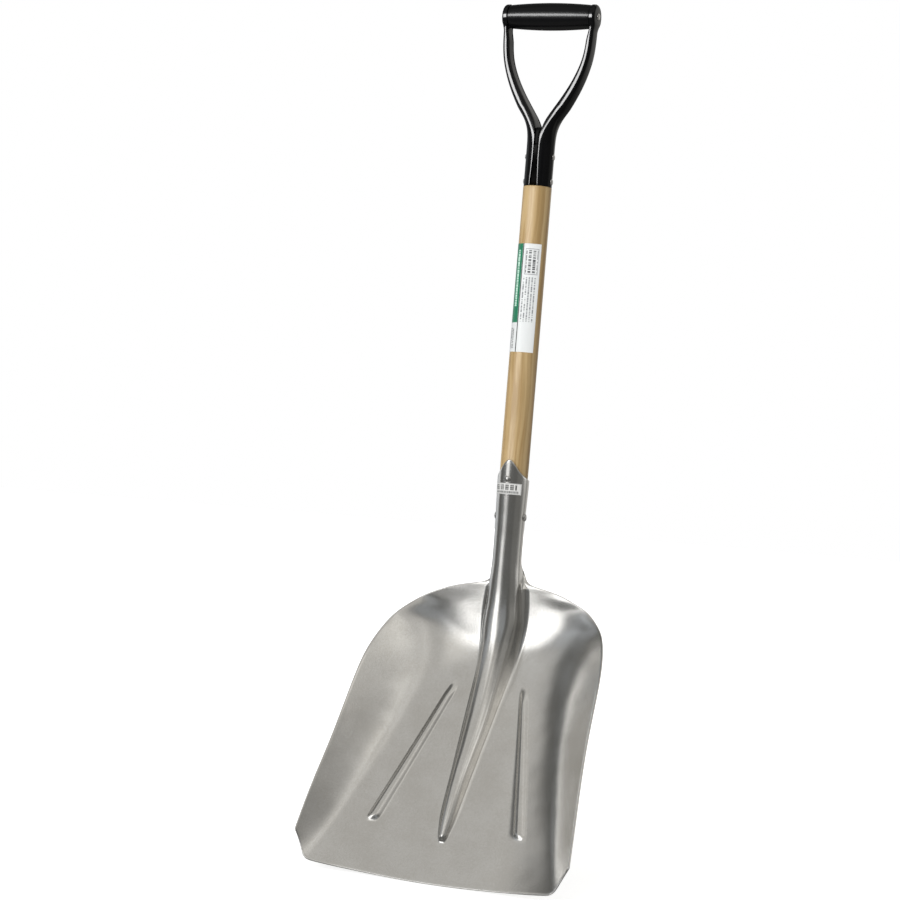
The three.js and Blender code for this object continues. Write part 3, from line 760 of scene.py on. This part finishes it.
def shaft_label_print():
    f = Finish("shaft_label", Coat_Weight=0.5, Coat_Roughness=0.15)
    split = f.add("ShaderNodeSeparateXYZ", {0: f.uv}).outputs
    u, v = split[0], split[1]
    paper = f.blend(f.noise(f.place, 900.0, 2.0), (0.58, 0.6, 0.6, 1), (0.64, 0.65, 0.65, 1))
    band = both(f, f.within(u, -0.1, 0.51), f.within(v, 0.27, 1.1))
    colour = f.blend(band, paper, (0.012, 0.16, 0.08, 1))
    title = both(f, f.within(u, 0.36, 0.44, 0.008), f.within(v, 0.42, 0.94),
                 f.range(f.noise(f.stretch(f.uv, 0, 130, 0), 1.0, 1.0), 0.42, 0.48))
    colour = f.blend(title, colour, (0.45, 0.68, 0.56, 1))
    rule = f.within(u, 0.515, 0.54, 0.003)
    colour = f.blend(rule, colour, (0.01, 0.012, 0.012, 1))
    small = both(f, print_lines(f, u, v, 16.0, 210.0, 0.2, 0.75),
                 f.within(u, 0.19, 0.44), f.within(v, 0.03, 0.22))
    colour = f.blend(small, colour, (0.05, 0.05, 0.05, 1))
    large = both(f, print_lines(f, u, v, 9.0, 75.0, 0.15, 0.8),
                 f.within(u, 0.62, 0.92), f.within(v, 0.73, 0.94))
    colour = f.blend(f.math("MULTIPLY", large, 0.95), colour, (0.04, 0.04, 0.045, 1))
    frame_out = both(f, f.within(u, 0.6, 0.94, 0.003), f.within(v, 0.715, 0.955, 0.002))
    frame_in = both(f, f.within(u, 0.61, 0.93, 0.003), f.within(v, 0.72, 0.95, 0.002))
    colour = f.blend(f.math("SUBTRACT", frame_out, frame_in), colour, (0.15, 0.15, 0.17, 1))
    notes = both(f, print_lines(f, u, v, 14.0, 130.0, 0.2, 0.7),
                 f.within(u, 0.58, 0.93), f.within(v, 0.28, 0.69))
    colour = f.blend(f.math("MULTIPLY", notes, 0.85), colour, (0.09, 0.1, 0.11, 1))
    f.set("Base Color", colour)
    f.set("Roughness", f.range(f.noise(f.place, 60.0), 0.3, 0.7, 0.3, 0.42))
    f.bump((f.noise(f.place, 45.0, 2.0), 0.00012))
    return f.material


def socket_label_print():
    f = Finish("socket_label", Coat_Weight=0.3, Coat_Roughness=0.2)
    split = f.add("ShaderNodeSeparateXYZ", {0: f.uv}).outputs
    u, v = split[0], split[1]
    paper = f.blend(f.noise(f.place, 500.0, 3.0), (0.5, 0.5, 0.49, 1), (0.62, 0.62, 0.6, 1))
    small = both(f, print_lines(f, v, u, 1.0, 60.0, 0.1, 0.3), f.within(u, 0.08, 0.9))
    colour = f.blend(f.math("MULTIPLY", small, 0.85), paper, (0.03, 0.03, 0.03, 1))
    large = both(f, print_lines(f, v, u, 1.0, 19.0, 0.4, 0.86), f.within(u, 0.05, 0.84))
    colour = f.blend(f.math("MULTIPLY", large, 0.9), colour, (0.02, 0.02, 0.02, 1))
    slots = both(f, f.range(f.noise(f.stretch(f.uv, 0, 9, 0), 1.0, 1.0), 0.5, 0.56),
                 f.within(u, 0.08, 0.8), f.within(v, 0.48, 0.8))
    colour = f.blend(f.math("MULTIPLY", slots, 0.6), colour, paper)
    edging = f.math("SUBTRACT", 1.0, both(f, f.within(u, 0.02, 0.97, 0.004), f.within(v, 0.05, 0.95, 0.02)))
    colour = f.blend(f.math("MULTIPLY", edging, 0.5), colour, (0.12, 0.12, 0.12, 1))
    f.set("Base Color", colour)
    f.set("Roughness", f.range(f.noise(f.place, 90.0), 0.3, 0.7, 0.35, 0.5))
    f.bump((f.noise(f.place, 70.0, 2.0), 0.0002))
    return f.material


def put(piece, slot, *nodes):
    """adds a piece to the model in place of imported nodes"""
    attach(piece, "root")
    if nodes:
        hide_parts(*nodes)


# ---- pieces ----
alloy = aluminium()
wood = ash()
steel_paint = black_paint("black_steel", roughness=0.1, coat=0.15, wave=0.00015)
wood_paint = black_paint("black_wood", roughness=0.21, coat=0.03, wave=0.0002)
rivets = rivet_steel()

put(scoop_blade(alloy), "aluminium_sheet", "scoop_blade")


def turned_shaft(material):
    """round shaft whose foot tapers inside the socket, up to the ends of the sheaths"""
    profile = [(0.01, SHAFT_FOOT_Z), (11, SHAFT_FOOT_Z)]
    for z in np.linspace(SHAFT_FOOT_Z + 3, 545, 38):
        taper = 3 * smooth(SHAFT_FOOT_Z + 44, SHAFT_FOOT_Z, z)
        profile.append((float(min(SHAFT_R, socket_r(z) - SHEET - GAP) - taper), z))
    profile += [(SHAFT_R, z) for z in np.linspace(550, FERRULE_Z - 1.2, 60)]
    profile += [(SHAFT_R - 0.2, FERRULE_Z - 0.5), (SHAFT_R - 0.8, FERRULE_Z), (0.01, FERRULE_Z)]
    return revolved("shaft_turned", profile, lambda p: p, 96, material)


put(turned_shaft(wood), "ash_wood", "shaft")

inside_r = FERRULE_R - STEEL - 0.1
neck = [(0.01, FERRULE_Z + GAP), (inside_r, FERRULE_Z + GAP), (inside_r, CROTCH_Z - 26),
        (inside_r - 0.6, CROTCH_Z - 21), (0.01, CROTCH_Z - 21)]
put(revolved("grip_neck", neck, lambda p: p, 96, wood_paint), "black_wood")


def grip_crotch(material):
    """the wood between the feet of the arms, with a saddle on top"""
    rings = []
    levels = [*np.linspace(CROTCH_Z - 24, CROTCH_Z - 3, 14), CROTCH_Z - 1.6, CROTCH_Z - 0.6]
    for z in levels:
        depth = min(inside_r, float(arm_half_depth(z)) - STEEL + 0.3)
        depth -= max(0, z - CROTCH_Z + 5) ** 2 * 0.25
        ring = []
        for t in np.linspace(0, 2 * math.pi, 48, endpoint=False):
            c, s = math.cos(t), math.sin(t)
            ring.append((5.2 * np.sign(c) * abs(c) ** 0.4, depth * np.sign(s) * abs(s) ** 0.6, z))
        rings.append(ring)
    return closed_loft("grip_crotch", np.array(rings), material)


put(grip_crotch(wood_paint), "black_wood")
put(arm_core("right_arm_wood", 1, wood_paint), "black_wood", "right_arm_core")
put(arm_core("left_arm_wood", -1, wood_paint), "black_wood", "left_arm_core")
put(arm_sheath("right_sheath", 1, steel_paint), "black_steel", "right_arm_sheath")
put(arm_sheath("left_sheath", -1, steel_paint), "black_steel", "left_arm_sheath")
put(grip_bar(wood_paint), "black_wood", "grip_bar")

cup = CUP_OUTER + 0.7
put(rivet_heads("rivet_grip", radius=4.4, height=1.9, faces=(-cup, cup),
                place=lambda p: along_x(p, BAR_Z), material=rivets), "rivet_steel", "grip_rivet")
for node, z in FERRULE_RIVETS.items():
    put(rivet_heads(node + "_heads", radius=4, height=2, faces=(-FERRULE_R, FERRULE_R),
                    place=lambda p: along_x(p, z), material=rivets), "rivet_steel", node)
side = float(socket_r(CROSS_RIVET_Z))
put(rivet_heads("rivet_socket_cross", radius=5, height=2.4, faces=(-side, side),
                place=lambda p: along_x(p, CROSS_RIVET_Z), material=rivets),
    "rivet_steel", "socket_cross_rivet")
face = float(socket_r(FRONT_RIVET_Z))
put(rivet_heads("rivet_socket_front", radius=4.2, height=2.1, faces=(-face - 1.3, face),
                place=lambda p: along_y(p, FRONT_RIVET_Z), material=rivets),
    "rivet_steel", "socket_front_rivet")
burr = [(2.6, face), (5.2, face), (5.2, face + 0.9), (4.9, face + 1.2), (2.6, face + 1.2), (2.6, face)]
burr_piece = revolved("rivet_burr", burr, lambda p: mirrored(along_y(p, FRONT_RIVET_Z)) * [1, -1, 1], 40,
                      rivets)
put(burr_piece, "rivet_steel", "socket_rivet_burr")

put(wrapped_label("shaft_print", low=676, high=818, start=-100, end=59,
                  radius_at=lambda z: SHAFT_R + 0 * z, material=shaft_label_print()),
    "label_paper", "shaft_label")
put(wrapped_label("socket_print", low=489.5, high=504, start=-62, end=55,
                  radius_at=socket_r, material=socket_label_print()),
    "label_paper", "socket_label")


# ---- studio ----
def world_mm(x, y, z):
    return Vector((x * MM, y * MM, z * MM + BASE))


CAMERA_PLACE = (1172, -2999, 491)
CAMERA_TARGET = (-79.4, -33.5, 541.1)
CAMERA_ROLL = 4.73                  # degrees, to the left
CAMERA_LENS = 98.24                 # for a sensor 36 mm wide


def place_camera():
    data = bpy.data.cameras.new("camera")
    data.sensor_width = 36
    data.lens = CAMERA_LENS
    data.clip_end = 50
    camera = bpy.data.objects.new("camera", data)
    bpy.context.scene.collection.objects.link(camera)
    location = world_mm(*CAMERA_PLACE)
    target = world_mm(*CAMERA_TARGET)
    back = (location - target).normalized()
    right = Vector((0, 0, 1)).cross(back).normalized()
    up = back.cross(right)
    roll = math.radians(CAMERA_ROLL)
    tilted_right = right * math.cos(roll) + up * math.sin(roll)
    tilted_up = up * math.cos(roll) - right * math.sin(roll)
    basis = Matrix((tilted_right, tilted_up, back)).transposed().to_4x4()
    camera.matrix_world = Matrix.Translation(location) @ basis
    bpy.context.scene.camera = camera


def soft_box(name, azimuth, elevation, width, height, radiance, distance, aim):
    """area light, sized in metres, seen from the aim point at an azimuth from -Y (towards +X) and an
    elevation, both in degrees; the aim point is in millimetres"""
    az, el = math.radians(azimuth), math.radians(elevation)
    direction = Vector((math.sin(az) * math.cos(el), -math.cos(az) * math.cos(el), math.sin(el)))
    centre = world_mm(*aim)
    data = bpy.data.lights.new(name, "AREA")
    data.shape = "RECTANGLE"
    data.size = width
    data.size_y = height
    data.energy = radiance * math.pi * width * height
    light = bpy.data.objects.new(name, data)
    light.location = centre + direction * distance
    light.rotation_euler = direction.to_track_quat("Z", "Y").to_euler()
    bpy.context.scene.collection.objects.link(light)
    return light


DIM = (0.13, 0.13, 0.125)
WHITE = (1, 1, 1)
WARM = (1.0, 0.98, 0.94)
COOL = (0.9, 0.97, 1.06)
# soft patches of light in the room, in degrees: first and last azimuth, counted from -Y towards +X,
# lowest and highest elevation, width of the soft edges; then the radiance and the tint
ROOM = (
    (-61, 26, 27, 95, 5, 0.42, WARM),
    (20, 115, 30, 95, 6, 0.42, WARM),
    (-200, 200, 62, 95, 10, 0.1, WARM),
    (-38, -15, 0, 26, 1.5, 2.0, WHITE),
    (-17, -6, 19, 30, 2, 1.5, WHITE),
    (-13, 1, 28, 42, 3, 0.35, WARM),
    (-31, -5, -14, -1, 2, 0.35, WHITE),
    (-60, -5, -12, 46, 7, 0.07, COOL),
    (-7, 30, 7, 23, 2.5, 0.22, COOL),
    (-82, -45, 15, 25, 2, 0.24, COOL),
    (-62, -39, 4, 22, 2.5, 0.16, COOL),
    (-150, -92, -30, 42, 5, 0.28, COOL),
    (-97, -92, 8, 24, 2, 1.2, WARM),
    (50, 112, -30, 8, 6, 0.04, WARM),
    (50, 112, 8, 30, 6, 0.18, WARM),
    (112, 135, -30, 16, 8, 0.38, WARM),
    (46, 60, 38, 50, 3, 0.28, WARM),
    (32, 50, 41, 47, 3, 0.6, WARM),
    (69, 90, 27, 48, 3, 0.65, WARM),
    (-56, -46, 49, 62, 4, 0.22, WARM),
    (145, 200, -5, 60, 10, 0.55, WARM),
    (-200, -160, -5, 60, 10, 0.55, WARM),
    (-200, 200, -95, -48, 10, 0.4, WARM),
)


def studio_world():
    """white backdrop for the camera, and a dim room with soft patches for light and reflections"""
    world = bpy.data.worlds.new("studio")
    bpy.context.scene.world = world
    world.use_nodes = True
    w = Nodes(world.node_tree)
    backdrop = w.tree.nodes["Background"]
    backdrop.inputs["Strength"].default_value = 1.0
    direction = w.add("ShaderNodeTexCoord").outputs["Generated"]
    x, y, z = w.add("ShaderNodeSeparateXYZ", {0: direction}).outputs
    azimuth = w.math("ARCTAN2", x, w.math("MULTIPLY", y, -1.0))
    height = w.math("ARCSINE", z)
    light = w.add("ShaderNodeCombineXYZ", enumerate(DIM)).outputs[0]
    for west, east, low, high, soft, level, tint in ROOM:
        edges = [math.radians(k) for k in (west, east, low, high, soft)]
        patch = w.math("MULTIPLY", w.within(azimuth, edges[0], edges[1], edges[4]),
                       w.within(height, edges[2], edges[3], edges[4]))
        colour = tuple(level * part for part in tint)
        summed = w.add("ShaderNodeVectorMath", {0: patch, 1: colour, 2: light}, operation="MULTIPLY_ADD")
        light = summed.outputs[0]
    room = w.add("ShaderNodeBackground", {"Color": light, "Strength": 1.0})
    is_camera = w.add("ShaderNodeLightPath").outputs["Is Camera Ray"]
    both_worlds = w.add("ShaderNodeMixShader", {0: is_camera, 1: room.outputs[0], 2: backdrop.outputs[0]})
    backdrop.inputs["Color"].default_value = (1, 1, 1, 1)
    w.join(w.tree.nodes["World Output"].inputs["Surface"], both_worlds.outputs[0])


def stage_floor():
    edit = bmesh.new()
    bmesh.ops.create_circle(edit, cap_ends=True, radius=30, segments=64)
    data = bpy.data.meshes.new("floor")
    edit.to_mesh(data)
    edit.free()
    plane = bpy.data.objects.new("floor", data)
    plane.location.z = CAD_BOX[0].z - 0.001
    plane.visible_glossy = False
    bpy.context.scene.collection.objects.link(plane)
    f = Finish("floor_white", Roughness=0.9)
    f.set("Base Color", (0.8, 0.8, 0.8, 1))
    distance = f.add("ShaderNodeVectorMath", {0: f.place}, operation="LENGTH").outputs[1]
    f.set("Emission Color", (1, 1, 1, 1))
    f.set("Emission Strength", f.range(distance, 0.2, 1.6, 0.7, 1.1))
    data.materials.append(f.material)


place_camera()
studio_world()
stage_floor()

# fill lights everything from in front; the others only give reflections, on the pieces in lit_pieces
fill = soft_box("fill", azimuth=-2, elevation=18, width=1.6, height=1.6, radiance=5.6,
                distance=3.0, aim=(0, 0, 700))
fill.visible_glossy = False
glint = soft_box("glint", azimuth=-23, elevation=9, width=2.7, height=0.7, radiance=54,
                 distance=2.5, aim=(0, 0, 1000))
sheen = soft_box("sheen", azimuth=-23, elevation=4, width=2.4, height=1.6, radiance=5,
                 distance=2.5, aim=(0, 0, 740))
gleam = soft_box("gleam", azimuth=-106, elevation=11, width=2.1, height=0.85, radiance=0.5,
                 distance=3.0, aim=(0, 0, 200))
gleam_right = soft_box("gleam_right", azimuth=112, elevation=13, width=1.7, height=0.6, radiance=0.7,
                       distance=3.0, aim=(0, 0, 200))
lit_pieces = {
    glint: ("lacquered", (steel_paint, wood_paint)),
    sheen: ("shaft_only", (wood,)),
    gleam: ("sheet_left", (alloy,)),
    gleam_right: ("sheet_right", (alloy,)),
}
for light, (group, finishes) in lit_pieces.items():
    light.data.diffuse_factor = 0
    receivers = bpy.data.collections.new(group)
    for piece in bpy.data.objects:
        finish = piece.data.materials[0] if piece.type == "MESH" and piece.data.materials else None
        if finish in finishes and piece.name not in ("grip_neck", "grip_crotch"):
            receivers.objects.link(piece)
    light.light_linking.receiver_collection = receivers

# the two gleams reach the sheet past its own folds: only the floor stands in their way
unshaded = bpy.data.collections.new("floor_only")
unshaded.objects.link(bpy.data.objects["floor"])
gleam.light_linking.blocker_collection = unshaded
gleam_right.light_linking.blocker_collection = unshaded
bpy.context.scene.view_settings.view_transform = "Standard"
